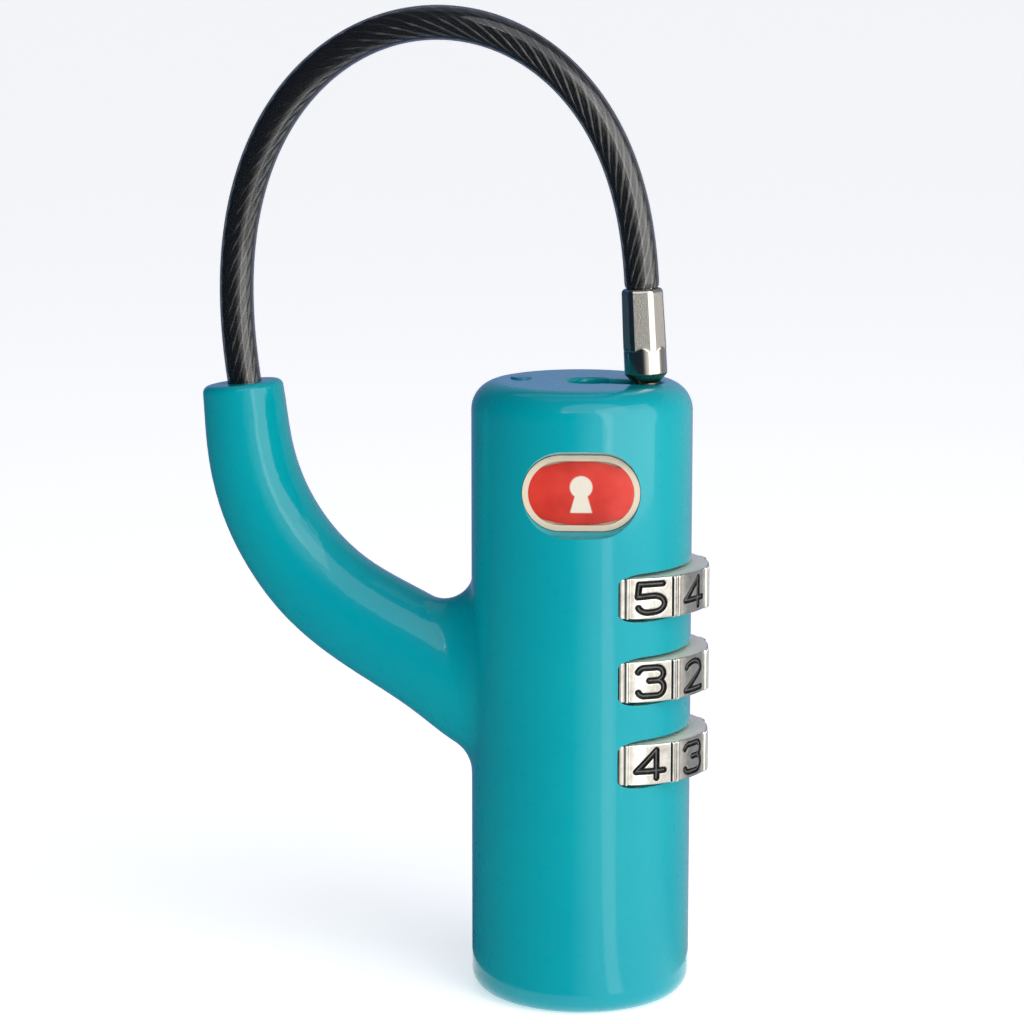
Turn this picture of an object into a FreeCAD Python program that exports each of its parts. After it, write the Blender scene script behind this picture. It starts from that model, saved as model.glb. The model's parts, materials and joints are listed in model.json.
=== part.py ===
"""Three-dial luggage padlock with a cable shackle.

Millimetres, +Z up. The origin is the centre of the flat base, the arm springs out
towards -X, the dials show towards +X and the badge faces -Y.
"""
import FreeCAD, Part
import math
import os

V = FreeCAD.Vector
UP = V(0, 0, 1)
ACROSS = V(0, 1, 0)

FIT = 0.05                  # radial clearance of a running fit
PRESS_GAP = 0.02            # and of a fixed one

# ---- body -----------------------------------------------------------------------
BODY_R = 9.6
BODY_H = 54.3
TOP_ROUND = 2.5
BASE_ROUND = 1.8
CAP_T = 2.0                 # base cap's disc, below the housing
LID_T = 3.3                 # solid top, above the bore

# ---- arm ------------------------------------------------------------------------
ARM_TIP = V(-31.1, 0, 53.05)
ARM_TIP_LEAN = 6.3          # degrees off vertical
ARM_STRAIGHT = 4.85
ARM_BEND_R = 20.6
ARM_BEND = 55.4             # degrees
ARM_ROOT = 16.0             # straight stretch that runs into the body
ARM_TIP_R = 3.57
ARM_GROWTH = 0.0395         # radius gained per millimetre of arm
ARM_RIM = 0.65
ARM_FILLET = 3.2
ARM_BEND_STEPS = 5

# ---- dial stack -----------------------------------------------------------------
STACK_X = 3.5               # axis of the dials, sleeves, spindle and key plug
DIAL_TOP_Z = 36.7
DIAL_PITCH = 7.27
DIAL_COUNT = 3
DIAL_T = 3.6
DIAL_R = 7.9
DIAL_FACES = 10
DIAL_TURN = -2.5            # the grooves' angle from +X
DIAL_VALLEY = 0.5           # depth of the grooves between digit panels
DIAL_RIM = 0.2
SPLIT_RISE = 0.3            # clutch notches start this far above a dial's middle
SLOT_R = 8.12
SLOT_H = 4.2
POCKET_ROUND = 0.8
WINDOW_ROUND = 0.07
BORE_R = 5.3
CHANNEL_X = -6.5            # upright channel for the detent and the reset yoke
CHANNEL_W = 2.8
CHANNEL_TOP = 45.2
DIAL_BORE_R = 4.8
NOTCH_R = 5.3
NOTCH_W = 0.9
RELIEF_R = 5.4
SLEEVE_R = 4.6
TOOTH_R = 5.15
TOOTH_W = 0.7
TOOTH_LOW = 0.5             # above a dial's middle
TOOTH_TOP_GAP = 0.2         # below a dial's top face
TOOTH_ROOT = 0.5            # overlap with the sleeve
SLEEVE_GAP = 0.07
SLEEVE_BORE_R = 3.3
WEB_T = 0.9
WEB_BORE_R = 1.6
GATE_W = 1.6
SEAT_T = 1.2
SEAT_CLEAR = 0.4            # round the spindle
DISC_COUNT = 4
DISC_T = 0.25
DISC_CONE = 0.35
DISC_BORE_R = 4.0           # clear of the service cam's lobe

# ---- spindle --------------------------------------------------------------------
SHAFT_R = 1.4
SHAFT_TOP = 42.9
NECK_R = 0.65
NECK_TOP = 49.4
FIN_R = 3.0
FIN_W = 1.2
FIN_T = 0.9
FIN_GAP = 0.2
FOOT_R = 2.6
FOOT_Z = 13.0
FOOT_T = 1.0
FOOT_COIL_R = 1.9
FOOT_WIRE_R = 0.25
FOOT_TURNS = 2.5

# ---- latch ----------------------------------------------------------------------
BLOCK_Z = CHANNEL_TOP
BLOCK_TOP = BODY_H - LID_T - FIT
CHANNEL_CLEAR = 0.1         # of the keeper in its channel
TIP_WELL_R = 1.45           # hole for the tip in the guide block
TIP_WELL_SHIFT = 0.35
TIP_WELL_DEPTH = 0.4        # below the tip
KEEPER_Z = 49.9
KEEPER_T = 0.9
KEEPER_W = 4.4
KEEPER_BACK = -1.2
KEEPER_END = 4.7
KEEPER_THROAT = 1.7
KEEPER_THROAT_X = 1.0
TIP_R = 1.1
TIP_NECK_R = 0.7
TIP_Z = 48.6
TIP_CHAMFER = 0.35
NECK_MARGIN = 0.3           # of the neck groove above and below the keeper
SHANK_R = 0.8               # of the tip inside the ferrule
SHANK_TOP = 5.0             # from the ferrule's top
SLOT_W = 2.6
HOLE_X = 0.65
HOLE_R = 1.95
MOUTH_ROUND = 0.35

# ---- reset ----------------------------------------------------------------------
PIN_X = -5.45
PIN_R = 0.9
PIN_TOP = BODY_H + 0.15
YOKE_Z = 42.0
YOKE_T = 1.2
YOKE_R = 4.3
YOKE_CLEAR = 0.3            # round the spindle
YOKE_REACH = 0.7            # past the pin's axis
PIN_ROUND = 0.12
YOKE_COIL_R = 3.7
YOKE_WIRE_R = 0.2
YOKE_TURNS = 2

# ---- detent ---------------------------------------------------------------------
LEAF_X = -6.1
LEAF_T = 0.3
LEAF_MARGIN = 2.4           # past the outer dials' middles
FINGER_R = 1.35
FINGER_W = 1.6
FINGER_END_X = -4.65
FINGER_HALF_H = 1.4

# ---- cable ----------------------------------------------------------------------
CABLE_R = 1.5
CABLE_START = V(-30.82, 0, 52.77)
CABLE_LENGTH = 74.06
CABLE_LEAN = -9.0           # degrees from vertical where it leaves the arm
BEND_BASE = 0.916           # degrees of bend per millimetre, everywhere
BEND_PEAK = 2.682           # and the extra bend at the tightest place
BEND_SKEW = 1.326           # moves the tightest place past the middle
LINKS = 8
FIRST_HINGE = 1.8
BALL_GAP = 0.05
ANCHOR_DEPTH = 9.0
ANCHOR_R = 2.2
ANCHOR_LEN = 6.0
ANCHOR_END_GAP = 1.0

# ---- ferrule --------------------------------------------------------------------
FERRULE_R = 1.84
FERRULE_LEN = 7.4
RING_LEN = 2.1
CRIMP_SIDES = 6
CRIMP_FLAT = 1.66
TAPER_LEN = 0.75
TAPER_R = 1.15
FERRULE_RIM = 0.25
CRIMP_RUNOUT = 0.4
SOCKET_DEPTH = 4.5          # for the cable
SHANK_BORE_R = 0.82

# ---- badge ----------------------------------------------------------------------
BADGE_ANGLE = -76.5
BADGE_Z = 45.75
BADGE_W = 10.1
BADGE_H = 6.6
BADGE_FACE = 8.22           # distance of the plate's face from the body's axis
BADGE_T = 0.6
ENAMEL_T = 0.25
ENAMEL_INSET = 0.55
POCKET_SLOPE = 0.75         # the pocket's wall leans out by this over its rise
POCKET_RISE = 2.35

# ---- base and key cylinder --------------------------------------------------------
PLUG_R = 3.0
PLUG_Z = 0.3
PLUG_TOP = 8.0
SPIGOT_R = BORE_R - FIT
TAIL_R = 1.5
TAIL_TOP = 9.6
KEYWAY_W = 1.2
KEYWAY_L = 4.0
KEYWAY_TOP = 6.8
WAFER_COUNT = 4
WAFER_T = 0.6
WAFER_PITCH = 1.3
WAFER_LOW = 1.2             # lowest wafer, above the plug's face
WAFER_W = 3.4
WAFER_EDGE = 0.75           # from the plug's outside
WINDOW_W = 1.5
WINDOW_L = 2.6
CLIP_R = 2.7
CLIP_T = 0.4
CLIP_GAP = 1.6
CAM_R = 2.1
CAM_LOBE_R = 1.3
CAM_LOBE_X = -2.4           # from the plug's axis
CAM_LOW = 0.6               # above the plug's shoulder
CAM_TOP_GAP = 0.1
CAP_PIN_R = 0.75
CAP_PIN_Z = 5.0
CAP_PIN_GRIP = 2.0          # length inside the spigot


# ---- small helpers --------------------------------------------------------------

def rod(radius, low, high, x=STACK_X, y=0.0):
    """Upright round bar between two heights."""
    return Part.makeCylinder(radius, high - low, V(x, y, low))


def tube(outer, inner, low, high, x=STACK_X, y=0.0):
    """Upright pipe between two heights."""
    margin = 1.0
    return rod(outer, low, high, x, y).cut(rod(inner, low - margin, high + margin, x, y))


def block(x_low, x_high, width, low, high):
    """Box centred on the XZ plane."""
    return Part.makeBox(x_high - x_low, width, high - low, V(x_low, -width / 2, low))


def turned(shape, angle, x=STACK_X):
    """Copy of a shape, turned about an upright axis."""
    copy = shape.copy()
    copy.rotate(V(x, 0, 0), UP, angle)
    return copy


def fused(shapes):
    """One clean solid from touching pieces."""
    first, *rest = shapes
    return first.fuse(rest).removeSplitter() if rest else first


def edges_at(shape, height, radius=None):
    """Edges that lie flat at one height, with one radius where that is given."""
    found = []
    for edge in shape.Edges:
        box = edge.BoundBox
        flat = abs(box.ZMin - height) < 1e-4 and abs(box.ZMax - height) < 1e-4
        right_size = radius is None or abs(getattr(edge.Curve, "Radius", 0) - radius) < 1e-4
        if flat and right_size:
            found.append(edge)
    return found


def dial_height(index):
    """Mid height of a dial, counted from the top."""
    return DIAL_TOP_Z - index * DIAL_PITCH


def in_plane(point, heading, distance=0.0, side=0.0):
    """Point moved along a heading from vertical, and sideways to its right."""
    a = math.radians(heading)
    return point + V(math.sin(a), 0, math.cos(a)) * distance + V(math.cos(a), 0, -math.sin(a)) * side


# ---- cable route ----------------------------------------------------------------

def cable_station(distance, step=0.05):
    """Place and heading of the cable's centre line, a distance along it."""
    point = CABLE_START
    heading = CABLE_LEAN
    if distance <= 0:
        return in_plane(point, heading, distance), heading
    count = max(1, round(distance / step))
    part = distance / count
    for k in range(count):
        along = (k + 0.5) * part / CABLE_LENGTH
        bend = (BEND_BASE + BEND_PEAK * math.sin(math.pi * along ** BEND_SKEW)) * part
        point = in_plane(point, heading + bend / 2, part)
        heading += bend
    return point, heading


def hinge_distance(index):
    """Distance along the cable of one of its hinges."""
    return FIRST_HINGE + index * (CABLE_LENGTH - FIRST_HINGE) / LINKS


def cable_stretch(start, end):
    """Round bar along part of the cable."""
    middle = (start + end) / 2
    first, heading = cable_station(start)
    arc = Part.Arc(first, cable_station(middle)[0], cable_station(end)[0]).toShape()
    tangent = arc.tangentAt(arc.FirstParameter)
    ring = Part.Wire(Part.makeCircle(CABLE_R, first, tangent))
    return Part.Wire(arc).makePipeShell([ring], True, True)


def cable_link(index):
    """Stretch between two hinges: hollow where it starts, a ball where it ends."""
    start = hinge_distance(index)
    end = hinge_distance(index + 1)
    link = cable_stretch(start, end)
    socket = Part.makeSphere(CABLE_R + BALL_GAP, cable_station(start)[0])
    link = link.cut(socket)
    if index < LINKS - 1:
        link = link.fuse(Part.makeSphere(CABLE_R - BALL_GAP / 2, cable_station(end)[0]))
    return link


def cable_root():
    """Fixed end of the cable, from the anchor in the arm to the first hinge."""
    low = in_plane(CABLE_START, CABLE_LEAN, -ANCHOR_DEPTH)
    centre = cable_station(FIRST_HINGE)[0]
    direction = in_plane(V(0, 0, 0), CABLE_LEAN, 1.0)
    bar = Part.makeCylinder(CABLE_R, ANCHOR_DEPTH + FIRST_HINGE, low, direction)
    return bar.fuse(Part.makeSphere(CABLE_R - BALL_GAP / 2, centre))


def cable_anchor():
    """Crimped sleeve that holds the cable inside the arm."""
    low = in_plane(CABLE_START, CABLE_LEAN, -ANCHOR_DEPTH)
    direction = in_plane(V(0, 0, 0), CABLE_LEAN, 1.0)
    sleeve = Part.makeCylinder(ANCHOR_R, ANCHOR_LEN, low, direction)
    return sleeve.cut(Part.makeCylinder(CABLE_R, ANCHOR_LEN, low, direction))


# ---- housing --------------------------------------------------------------------

def arm():
    """Round arm: a taper along a straight, a bend and a straight into the body."""
    lengths = [0.0, ARM_STRAIGHT]
    bend_length = ARM_BEND_R * math.radians(ARM_BEND)
    lengths += [ARM_STRAIGHT + bend_length * (k + 1) / ARM_BEND_STEPS
                for k in range(ARM_BEND_STEPS)]
    lengths += [lengths[-1] + ARM_ROOT / 2, lengths[-1] + ARM_ROOT]
    rings = []
    for length in lengths:
        centre, direction = arm_station(length)
        circle = Part.makeCircle(ARM_TIP_R + ARM_GROWTH * length, centre, direction)
        rings.append(Part.Wire(circle))
    solid = Part.makeLoft(rings, True, False)
    tip = [e for e in solid.Edges if e.Length < 2 * math.pi * ARM_TIP_R * 1.01
           and e.BoundBox.ZMin > ARM_TIP.z - 1.0]
    return solid.makeFillet(ARM_RIM, tip)


def arm_station(length):
    """Place and direction of the arm's centre line, a length from its tip."""
    lean = 180 - ARM_TIP_LEAN
    bend_length = ARM_BEND_R * math.radians(ARM_BEND)
    start = in_plane(ARM_TIP, lean, ARM_STRAIGHT)
    if length <= ARM_STRAIGHT:
        return in_plane(ARM_TIP, lean, length), in_plane(V(0, 0, 0), lean, 1.0)
    turn = min((length - ARM_STRAIGHT) / ARM_BEND_R, math.radians(ARM_BEND))
    chord = 2 * ARM_BEND_R * math.sin(turn / 2)
    heading = lean - math.degrees(turn)
    point = in_plane(start, lean - math.degrees(turn) / 2, chord)
    beyond = max(0.0, length - ARM_STRAIGHT - bend_length)
    return in_plane(point, heading, beyond), in_plane(V(0, 0, 0), heading, 1.0)


def badge_outline(width, height, distance, thickness, slope=0.0):
    """Stadium-ended plate on the body's front, from a distance outwards."""
    half_straight = (width - height) / 2
    faces = []
    for offset, out in ((0.0, 0.0), (slope, thickness)):
        radius = height / 2 + offset
        line = [V(distance + out, -half_straight, radius), V(distance + out, half_straight, radius)]
        top = Part.makeLine(line[0], line[1])
        right = Part.Arc(line[1], V(distance + out, half_straight + radius, 0),
                         V(distance + out, half_straight, -radius)).toShape()
        bottom = Part.makeLine(V(distance + out, half_straight, -radius),
                               V(distance + out, -half_straight, -radius))
        left = Part.Arc(V(distance + out, -half_straight, -radius),
                        V(distance + out, -half_straight - radius, 0), line[0]).toShape()
        faces.append(Part.Wire([top, right, bottom, left]))
    solid = Part.makeLoft(faces, True, True)
    solid.rotate(V(0, 0, 0), UP, BADGE_ANGLE)
    solid.translate(V(0, 0, BADGE_Z))
    return solid


def keyhole(low, high):
    """Round hole with a slot that leads to the ferrule's place."""
    end = V(ferrule_foot().x, 0, low)
    hole = rod(HOLE_R, low, high, HOLE_X)
    slot = block(HOLE_X, end.x, SLOT_W, low, high)
    return fused([hole, slot, rod(SLOT_W / 2, low, high, end.x)])


def housing():
    """Cast body and arm in one piece."""
    body = rod(BODY_R, CAP_T, BODY_H, 0)
    body = body.makeFillet(TOP_ROUND, edges_at(body, BODY_H))
    shell = body.fuse(arm()).removeSplitter()
    seam = [e for e in shell.Edges if on_body_wall(e)]
    shell = shell.makeFillet(ARM_FILLET, seam)
    shell = shell.cut(badge_outline(BADGE_W, BADGE_H, BADGE_FACE - BADGE_T, BODY_R, 0.0))
    draft = badge_outline(BADGE_W, BADGE_H, BADGE_FACE, POCKET_RISE, POCKET_SLOPE)
    shell = shell.cut(draft)
    shell = shell.cut(keyhole(BODY_H - LID_T - 1, BODY_H + 1))
    mouth = [e for e in edges_at(shell, BODY_H) if e.BoundBox.XMax < BODY_R - TOP_ROUND - 0.05
             and e.BoundBox.XMin > -BODY_R + TOP_ROUND + 0.05]
    shell = shell.makeFillet(MOUTH_ROUND, mouth)
    shell = shell.cut([dial_pocket(index) for index in range(DIAL_COUNT)])
    shell = shell.makeFillet(WINDOW_ROUND, window_edges(shell))
    return shell.cut([rod(BORE_R, CAP_T - 1, BODY_H - LID_T),
                      block(CHANNEL_X, STACK_X, CHANNEL_W, CAP_T - 1, CHANNEL_TOP),
                      rod(PIN_R + FIT, CHANNEL_TOP - 1, BODY_H + 1, PIN_X),
                      anchor_bore(), cap_pin_bore()])


def dial_pocket(index):
    """Round pocket for one dial; its rounded rims give the window its round corners."""
    low = dial_height(index) - SLOT_H / 2
    pocket = rod(SLOT_R, low, low + SLOT_H)
    rims = edges_at(pocket, low) + edges_at(pocket, low + SLOT_H)
    return pocket.makeFillet(POCKET_ROUND, rims)


def window_edges(shell):
    """Edges where the dial pockets break through the body wall."""
    low = dial_height(DIAL_COUNT - 1) - SLOT_H
    high = dial_height(0) + SLOT_H
    found = []
    for edge in shell.Edges:
        points = edge.discretize(5)
        on_wall = all(abs(math.hypot(p.x, p.y) - BODY_R) < 1e-3 and p.x > STACK_X for p in points)
        if on_wall and edge.BoundBox.ZMin > low and edge.BoundBox.ZMax < high:
            found.append(edge)
    return found


def on_body_wall(edge):
    """True for the seam between the arm and the round body."""
    points = edge.discretize(7)
    return all(abs(math.hypot(p.x, p.y) - BODY_R) < 0.02 and p.x < 0 for p in points) and (
        edge.BoundBox.ZLength > 1.0) and edge.BoundBox.YLength > 1.0


def anchor_bore():
    """Blind hole in the arm's tip: narrow at the mouth, wide around the anchor."""
    deep = ANCHOR_DEPTH + ANCHOR_END_GAP
    low = in_plane(CABLE_START, CABLE_LEAN, -deep)
    direction = in_plane(V(0, 0, 0), CABLE_LEAN, 1.0)
    mouth = Part.makeCylinder(CABLE_R + FIT, 2 * deep, low, direction)
    return mouth.fuse(Part.makeCylinder(ANCHOR_R + FIT, ANCHOR_LEN + 2 * ANCHOR_END_GAP, low, direction))


def cap_pin_bore():
    """Cross hole for the pin that keeps the base cap in."""
    return Part.makeCylinder(CAP_PIN_R, BODY_R, V(STACK_X, SPIGOT_R - CAP_PIN_GRIP, CAP_PIN_Z), ACROSS)


# ---- base, key cylinder ---------------------------------------------------------

def base_cap():
    """End cap with the rounded base edge, and the spigot that carries the key plug."""
    disc = rod(BODY_R, 0, CAP_T, 0)
    disc = disc.makeFillet(BASE_ROUND, edges_at(disc, 0))
    cap = disc.fuse(rod(SPIGOT_R, CAP_T, PLUG_TOP))
    cap = cap.cut(rod(PLUG_R + FIT, -1, PLUG_TOP + 1))
    return cap.cut(cap_pin_bore())


def cap_pin():
    """Press-in cross pin of the base cap, flush with the body's back."""
    reach = math.sqrt(BODY_R ** 2 - STACK_X ** 2) - 2 * FIT
    start = SPIGOT_R - CAP_PIN_GRIP + 2 * FIT
    return Part.makeCylinder(CAP_PIN_R - PRESS_GAP, reach - start, V(STACK_X, start, CAP_PIN_Z), ACROSS)


def key_plug():
    """Turning plug with a keyway, wafer slots and a tail for the cam."""
    plug = rod(PLUG_R, PLUG_Z, PLUG_TOP).fuse(rod(TAIL_R, PLUG_TOP, TAIL_TOP))
    plug = plug.cut(keyway(PLUG_Z - 1, KEYWAY_TOP))
    for index in range(WAFER_COUNT):
        plug = plug.cut(wafer(index, FIT))
    return plug


def keyway(low, high):
    """Slot that the key enters."""
    return Part.makeBox(KEYWAY_W, KEYWAY_L, high - low,
                        V(STACK_X - KEYWAY_W / 2, -KEYWAY_L / 2, low))


def wafer(index, allowance=0.0):
    """One flat tumbler across the plug, or with an allowance the slot it sits in."""
    low = PLUG_Z + WAFER_LOW + index * WAFER_PITCH - allowance
    wide = WAFER_W + 2 * allowance
    tall = 2 * (PLUG_R - WAFER_EDGE) + 2 * allowance
    return Part.makeBox(wide, tall, WAFER_T + 2 * allowance,
                        V(STACK_X - wide / 2, -tall / 2, low))


def wafers():
    """Tumblers as a group, each with the window the key passes through."""
    window = block(STACK_X - WINDOW_W / 2, STACK_X + WINDOW_W / 2, WINDOW_L, 0, PLUG_TOP)
    return Part.makeCompound([wafer(k).cut(window) for k in range(WAFER_COUNT)])


def plug_clip():
    """Open retaining ring on the plug's tail."""
    ring = tube(CLIP_R, TAIL_R + PRESS_GAP, PLUG_TOP + FIT, PLUG_TOP + FIT + CLIP_T)
    gap = block(STACK_X, STACK_X + CLIP_R + 1, CLIP_GAP, PLUG_TOP - 1, PLUG_TOP + 1)
    return ring.cut(gap)


def release_cam():
    """Lobe on the plug's tail that the service key turns under the spindle."""
    low = PLUG_TOP + CAM_LOW
    high = TAIL_TOP - CAM_TOP_GAP
    disc = rod(CAM_R, low, high)
    lobe = rod(CAM_LOBE_R, low, high, STACK_X + CAM_LOBE_X)
    return fused([disc, lobe]).cut(rod(TAIL_R + PRESS_GAP, low - 1, TAIL_TOP))


# ---- dials and sleeves ----------------------------------------------------------

def dial(index):
    """Number wheel: ten flat-bottomed grooves outside, ten clutch notches inside."""
    z = dial_height(index)
    wheel = rod(DIAL_R, z - DIAL_T / 2, z + DIAL_T / 2)
    rim = [e for e in wheel.Edges if abs(e.Length - 2 * math.pi * DIAL_R) < 0.01]
    wheel = wheel.makeChamfer(DIAL_RIM, rim)
    split = z + SPLIT_RISE
    cutters = [rod(DIAL_BORE_R, z - DIAL_T, z + DIAL_T), rod(RELIEF_R, z - DIAL_T, split)]
    step = 360 / DIAL_FACES
    for k in range(DIAL_FACES):
        notch = block(STACK_X, STACK_X + NOTCH_R, NOTCH_W, split - SPLIT_RISE, z + DIAL_T)
        cutters.append(turned(notch, k * step))
        groove = rod(DIAL_VALLEY, z - DIAL_T, z + DIAL_T, STACK_X + DIAL_R)
        cutters.append(turned(groove, k * step + DIAL_TURN))
    return wheel.cut(cutters)


def code_sleeve(index):
    """Sleeve keyed in a dial, with a gated web that the spindle's fin must pass."""
    z = dial_height(index)
    half = (DIAL_PITCH - SLEEVE_GAP) / 2
    shell = tube(SLEEVE_R, SLEEVE_BORE_R, z - half, z + half)
    web = tube(SLEEVE_R - TOOTH_ROOT, WEB_BORE_R, z - WEB_T / 2, z + WEB_T / 2)
    gate = block(STACK_X, STACK_X + SLEEVE_BORE_R, GATE_W, z - WEB_T, z + WEB_T)
    web = web.cut(gate)
    tooth = block(STACK_X + SLEEVE_R - TOOTH_ROOT, STACK_X + TOOTH_R, TOOTH_W, z + TOOTH_LOW,
                  z + DIAL_T / 2 - TOOTH_TOP_GAP)
    return fused([shell, web, tooth])


def stack_seat():
    """Cup that stands on the disc springs and carries the lowest sleeve."""
    top = dial_height(DIAL_COUNT - 1) - DIAL_PITCH / 2 - FIT
    skirt = tube(BORE_R - 2 * FIT, DISC_BORE_R, disc_height(DISC_COUNT), top)
    return fused([skirt, tube(BORE_R - 2 * FIT, SHAFT_R + SEAT_CLEAR, top - SEAT_T, top)])


def disc_height(index):
    """Underside of one of the disc springs, counted from the lowest."""
    return PLUG_TOP + FIT + index * (DISC_CONE + DISC_T + PRESS_GAP)


def disc_spring(index):
    """Coned washer; every other one is turned over."""
    low = disc_height(index)
    inner_low = low + DISC_CONE * (index % 2)
    outer_low = low + DISC_CONE * (1 - index % 2)
    outer = BORE_R - 2 * FIT
    outline = Part.makePolygon([V(DISC_BORE_R, 0, inner_low), V(outer, 0, outer_low),
                                V(outer, 0, outer_low + DISC_T), V(DISC_BORE_R, 0, inner_low + DISC_T),
                                V(DISC_BORE_R, 0, inner_low)])
    washer = Part.Face(outline).revolve(V(0, 0, 0), UP, 360)
    washer.translate(V(STACK_X, 0, 0))
    return washer


def stack_spring():
    """Disc springs that hold the sleeves up against the yoke's stop."""
    return Part.makeCompound([disc_spring(index) for index in range(DISC_COUNT)])


def coil(mean_radius, wire_radius, low, high, turns, x=STACK_X):
    """Compression spring between two heights."""
    rise = high - low - 2 * wire_radius
    helix = Part.makeHelix(rise / turns, rise, mean_radius)
    ring = Part.Wire(Part.makeCircle(wire_radius, V(mean_radius, 0, 0), V(0, 1, 0)))
    spring = helix.makePipeShell([ring], True, True)
    spring.translate(V(x, 0, low + wire_radius))
    return spring


def spindle():
    """Locking spindle: foot, shaft, one fin per dial, and the neck that works the keeper."""
    pieces = [rod(FOOT_R, FOOT_Z, FOOT_Z + FOOT_T), rod(SHAFT_R, FOOT_Z, SHAFT_TOP),
              rod(NECK_R, SHAFT_TOP, NECK_TOP)]
    for index in range(DIAL_COUNT):
        top = dial_height(index) - WEB_T / 2 - FIN_GAP
        pieces.append(block(STACK_X, STACK_X + FIN_R, FIN_W, top - FIN_T, top))
    return fused(pieces)


def spindle_spring():
    """Spring under the spindle's foot."""
    return coil(FOOT_COIL_R, FOOT_WIRE_R, TAIL_TOP + FIT, FOOT_Z - FIT, FOOT_TURNS)


# ---- latch ----------------------------------------------------------------------

def ferrule_axis():
    """Top of the ferrule's axis, and its heading downwards."""
    return cable_station(CABLE_LENGTH)


def ferrule_foot():
    """Point where the ferrule's axis meets the top of the body."""
    top, heading = ferrule_axis()
    drop = (top.z - BODY_H) / -math.cos(math.radians(heading))
    return in_plane(top, heading, drop)


def on_axis(radius, start, end):
    """Round bar on the ferrule's axis, between two distances from its top."""
    top, heading = ferrule_axis()
    return Part.makeCylinder(radius, end - start, in_plane(top, heading, start),
                             in_plane(V(0, 0, 0), heading, 1.0))


def ferrule():
    """Crimped end sleeve: pressed flats above a plain round ring."""
    top, heading = ferrule_axis()
    direction = in_plane(V(0, 0, 0), heading, 1.0)
    sleeve = on_axis(FERRULE_R, 0, FERRULE_LEN)
    rim = [e for e in sleeve.Edges if abs(e.Length - 2 * math.pi * FERRULE_R) < 0.01]
    sleeve = sleeve.makeFillet(FERRULE_RIM, rim)
    crimp = FERRULE_LEN - RING_LEN
    for k in range(CRIMP_SIDES):
        cutter = Part.makeBox(FERRULE_R, 2 * FERRULE_R, crimp + 1, V(CRIMP_FLAT, -FERRULE_R, -1))
        cutter = cutter.makeFillet(CRIMP_RUNOUT, [e for e in cutter.Edges
                                                  if abs(e.BoundBox.ZMin - crimp) < 1e-6
                                                  and e.BoundBox.YLength > FERRULE_R
                                                  and e.BoundBox.XMax < CRIMP_FLAT + 1])
        cutter.rotate(V(0, 0, 0), UP, k * 360 / CRIMP_SIDES)
        cutter.Placement = FreeCAD.Placement(top, FreeCAD.Rotation(UP, direction)) * cutter.Placement
        sleeve = sleeve.cut(cutter)
    sleeve = sleeve.cut(on_axis(CABLE_R + PRESS_GAP, -1, SOCKET_DEPTH))
    return sleeve.cut(on_axis(SHANK_BORE_R, SOCKET_DEPTH - 1, FERRULE_LEN + 1))


def lock_tip():
    """Hardened tip: shank in the ferrule, taper, pin and the keeper's neck groove."""
    top, heading = ferrule_axis()
    direction = in_plane(V(0, 0, 0), heading, 1.0)
    depth = (top.z - TIP_Z) / -direction.z
    neck_low = (top.z - KEEPER_Z + NECK_MARGIN) / -direction.z
    neck_high = (top.z - KEEPER_Z - KEEPER_T - NECK_MARGIN) / -direction.z
    cone = Part.makeCone(FERRULE_R, TAPER_R, TAPER_LEN,
                         in_plane(top, heading, FERRULE_LEN), direction)
    pin = on_axis(TIP_R, FERRULE_LEN, depth)
    pin = pin.makeChamfer(TIP_CHAMFER, [e for e in pin.Edges if e.BoundBox.ZMax < TIP_Z + 1
                                 and e.BoundBox.XLength > TIP_R])
    collar = on_axis(TIP_R + 1, neck_high, neck_low).cut(on_axis(TIP_NECK_R, neck_high, neck_low))
    tip = fused([on_axis(SHANK_R, SHANK_TOP, FERRULE_LEN), cone, pin])
    return tip.cut(collar)


def keeper():
    """Sliding fork that closes round the tip's neck."""
    low = KEEPER_Z
    plate = block(KEEPER_BACK, KEEPER_END, KEEPER_W, low, low + KEEPER_T)
    throat = block(KEEPER_THROAT_X, KEEPER_END + 1, KEEPER_THROAT, low - 1, low + 2)
    return plate.cut([throat, rod(KEEPER_THROAT / 2, low - 1, low + 2, KEEPER_THROAT_X)])


def guide_block():
    """Round block over the yoke, with the keeper's channel and the tip's hole."""
    blank = rod(SPIGOT_R, BLOCK_Z, BLOCK_TOP)
    foot = ferrule_foot()
    end = foot.x + TIP_WELL_SHIFT
    low = TIP_Z - TIP_WELL_DEPTH
    channel = block(STACK_X - BORE_R, STACK_X + BORE_R, KEEPER_W + CHANNEL_CLEAR,
                    KEEPER_Z - CHANNEL_CLEAR, BLOCK_TOP + 1)
    tip_slot = fused([rod(TIP_WELL_R, low, BLOCK_TOP + 1, end),
                      block(HOLE_X, end, 2 * TIP_WELL_R, low, BLOCK_TOP + 1),
                      rod(TIP_WELL_R, low, BLOCK_TOP + 1, HOLE_X)])
    return blank.cut([channel, tip_slot, rod(SHAFT_R + 2 * FIT, BLOCK_Z - 1, TIP_Z - 1),
                      rod(NECK_R + 2 * FIT, BLOCK_Z, BLOCK_TOP)])


# ---- reset ----------------------------------------------------------------------

def reset_pin():
    """Pin in the top face that is pushed to set a new code."""
    pin = rod(PIN_R, YOKE_Z + YOKE_T, PIN_TOP, PIN_X)
    return pin.makeFillet(PIN_ROUND, edges_at(pin, PIN_TOP))


def reset_yoke():
    """Ring round the spindle with an arm under the reset pin."""
    ring = rod(YOKE_R, YOKE_Z, YOKE_Z + YOKE_T)
    reach = block(PIN_X - YOKE_REACH, STACK_X, CHANNEL_W - 4 * FIT, YOKE_Z, YOKE_Z + YOKE_T)
    return fused([ring, reach]).cut(rod(SHAFT_R + YOKE_CLEAR, YOKE_Z - 1, YOKE_Z + YOKE_T + 1))


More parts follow.
